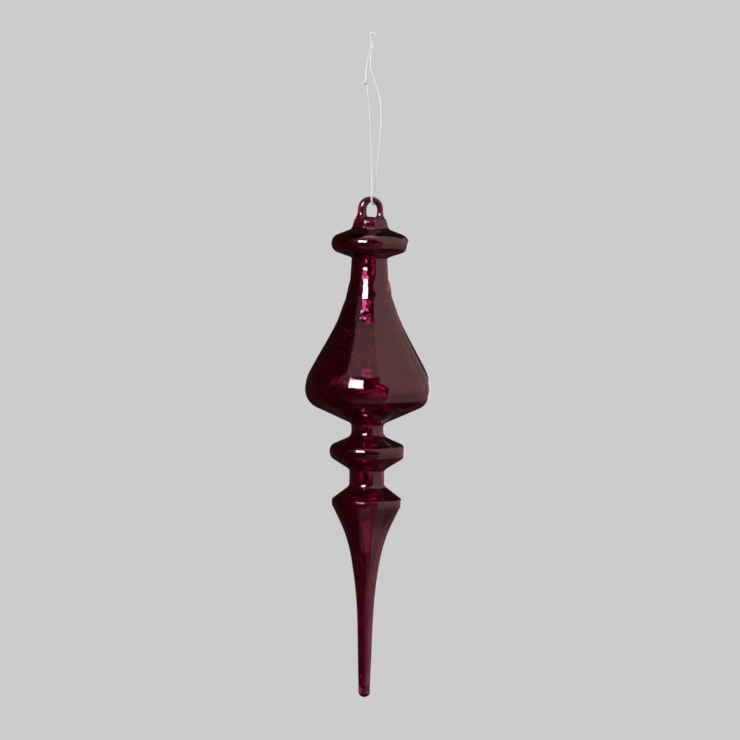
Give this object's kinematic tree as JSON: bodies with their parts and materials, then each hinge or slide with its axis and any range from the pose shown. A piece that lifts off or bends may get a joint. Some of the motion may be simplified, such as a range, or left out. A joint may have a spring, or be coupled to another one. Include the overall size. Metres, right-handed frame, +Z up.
{
  "type": "drop ornament",
  "caption": "Long blown glass drop with a collar, a pear-shaped belly, a ring, a flange and a pulled taper, hung from a looped metallic thread.",
  "frame": {"origin": "the point inside the top of the thread's loop where a hook bears", "axes": "+Z up along the glass's axis; +X across the glass eye's opening, towards its thin leg; -Y towards the viewer of the picture"},
  "size_m": [0.0632, 0.0632, 0.333],
  "materials": {
    "glass": "deep wine-red blown glass, fire-polished and glossy",
    "thread": "two-ply twisted metallic silver thread"
  },
  "bodies": {
    "root": {"glass_drop": "glass", "hanging_thread": "thread", "thread_knot": "thread"}
  },
  "joints": []
}
